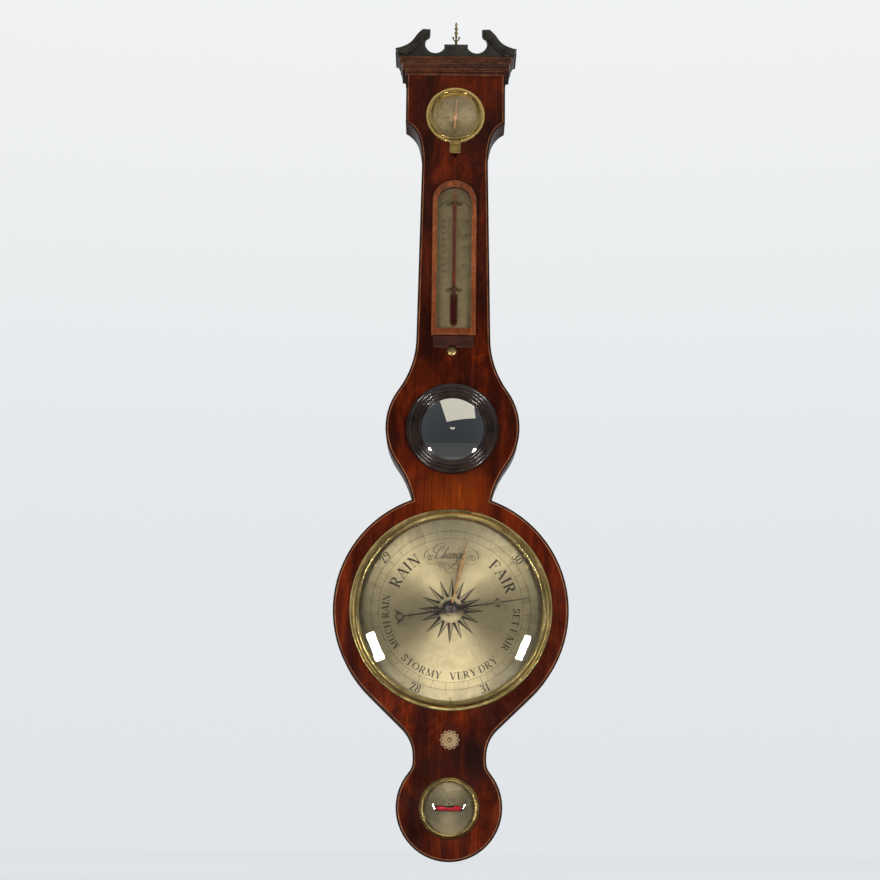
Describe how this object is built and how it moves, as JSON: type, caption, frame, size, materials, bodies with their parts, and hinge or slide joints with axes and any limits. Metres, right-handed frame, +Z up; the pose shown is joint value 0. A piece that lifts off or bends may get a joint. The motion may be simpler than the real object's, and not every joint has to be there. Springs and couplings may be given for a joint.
{
  "type": "wheel barometer",
  "caption": "Banjo-shaped wall barometer: mahogany case with weather dial under a hinged bezel, thermometer, hygrometer, convex mirror, spirit level and swan-neck pediment.",
  "frame": {"origin": "centre of the hanger hole, on the plane of the case's back", "axes": "+X to the right of someone who faces the dial, +Y out of the back towards the wall, +Z up the case"},
  "size_m": [0.262, 0.0547, 0.9742],
  "materials": {
    "mahogany": "french polished mahogany veneer",
    "carcass_wood": "mahogany sides over a pine carcass, bare at the back",
    "back_wood": "bare, aged pine",
    "ebonised_wood": "ebonised wood with worn polish",
    "boxwood": "boxwood stringing under old polish",
    "brass": "old lacquered brass",
    "gilt_brass": "gilt brass hand",
    "silvered_brass": "silvered and lacquered brass, spun finish",
    "blued_steel": "blued steel",
    "bone": "turned bone, aged",
    "clear_glass": "old clear glass",
    "tube_glass": "drawn glass tube",
    "mirror_silver": "convex silvered mirror",
    "quicksilver": "liquid mercury",
    "silk": "waxed silk line",
    "straw": "twisted oat beard",
    "cork": "cork"
  },
  "bodies": {
    "case": {"case_carcass": "carcass_wood", "face_veneer": "mahogany", "ebony_edging": "ebonised_wood", "boxwood_stringing": "boxwood", "cornice_front": "mahogany", "cornice_returns": "mahogany", "pediment_board": "ebonised_wood", "swan_necks": "ebonised_wood", "pediment_returns": "ebonised_wood", "finial": "brass", "hygrometer_cup": "brass", "hygrometer_dial": "silvered_brass", "hygrometer_bezel": "brass", "hygrometer_glass": "clear_glass", "oat_beard": "straw", "thermometer_box": "mahogany", "thermometer_glass": "clear_glass", "thermometer_scale": "silvered_brass", "thermometer_tube": "tube_glass", "thermometer_clips": "brass", "keeper_block": "mahogany", "keeper_screw": "brass", "mirror_frame": "ebonised_wood", "mirror_glass": "mirror_silver", "mirror_backing": "back_wood", "dial_plate": "silvered_brass", "bezel_flange": "brass", "pulley_bridge": "brass", "set_cord": "silk", "set_arbor_bush": "brass", "set_rosette": "bone", "siphon_tube": "tube_glass", "mercury": "quicksilver", "float_thread": "silk", "counterweight_thread": "silk", "tube_corks": "cork", "door_hinge_plates": "brass", "channel_covers": "back_wood", "hanger_plate": "brass", "case_screws": "brass", "level_bezel": "brass", "level_glass": "clear_glass", "level_dial": "silvered_brass", "level_vial": "tube_glass"},
    "bezel": {"main_bezel": "brass", "dial_glass": "clear_glass", "bezel_hinge_leaf": "brass"},
    "indicator": {"indicator_hand": "blued_steel", "indicator_arbor": "brass", "float_pulley": "brass"},
    "set_hand": {"set_hand": "gilt_brass", "set_pipe": "brass"},
    "set_arbor": {"set_arbor": "brass"},
    "float": {"float": "tube_glass"},
    "counterweight": {"counterweight": "tube_glass"},
    "hygrometer_needle": {"hygrometer_needle": "gilt_brass"},
    "hygrometer_keeper": {"hygrometer_keeper": "brass"},
    "door": {"back_door": "back_wood", "door_hinge_leaves": "brass"},
    "door_button": {"door_button": "brass"}
  },
  "joints": [
    {"name": "indicator_turn", "type": "hinge", "parent": "case", "child": "indicator", "pos_m": [0, -0.02, -0.623], "axis": [0, 1, 0], "range_deg": [-237.2, 74.8]},
    {"name": "float_slide", "type": "slide", "parent": "case", "child": "float", "axis": [0, 0, 1], "range_m": [-0.0092, 0.0291], "deforming": ["float_thread", "mercury"]},
    {"name": "counterweight_slide", "type": "slide", "parent": "case", "child": "counterweight", "axis": [0, 0, 1], "range_m": [-0.0291, 0.0092], "deforming": ["counterweight_thread"]},
    {"name": "set_hand_turn", "type": "hinge", "parent": "case", "child": "set_hand", "pos_m": [0, -0.03, -0.623], "axis": [0, 1, 0], "continuous": true},
    {"name": "set_arbor_turn", "type": "hinge", "parent": "case", "child": "set_arbor", "pos_m": [0, -0.03, -0.7663], "axis": [0, 1, 0], "continuous": true},
    {"name": "hygrometer_turn", "type": "hinge", "parent": "case", "child": "hygrometer_needle", "pos_m": [0, -0.036, -0.0413], "axis": [0, 1, 0], "range_deg": [-120, 120]},
    {"name": "hygrometer_keeper_slide", "type": "slide", "parent": "case", "child": "hygrometer_keeper", "axis": [0, 0, -1], "range_m": [0, 0.0045]},
    {"name": "bezel_open", "type": "hinge", "parent": "case", "child": "bezel", "pos_m": [0.02752, -0.0422, -0.5166], "axis": [-0.9681, 0, 0.2504], "range_deg": [0, 100]},
    {"name": "back_door_open", "type": "hinge", "parent": "case", "child": "door", "pos_m": [0.0952, -0.0013, -0.623], "axis": [0, 0, -1], "range_deg": [0, 110]},
    {"name": "door_button_turn", "type": "hinge", "parent": "case", "child": "door_button", "pos_m": [-0.1045, -0.001, -0.623], "axis": [0, 1, 0], "range_deg": [0, 90]}
  ],
  "couplings": [
    {"joint": "float_slide", "follows": "indicator_turn", "m_per_rad": -0.007},
    {"joint": "counterweight_slide", "follows": "indicator_turn", "m_per_rad": 0.007},
    {"joint": "set_hand_turn", "follows": "set_arbor_turn", "ratio": 0.5}
  ]
}
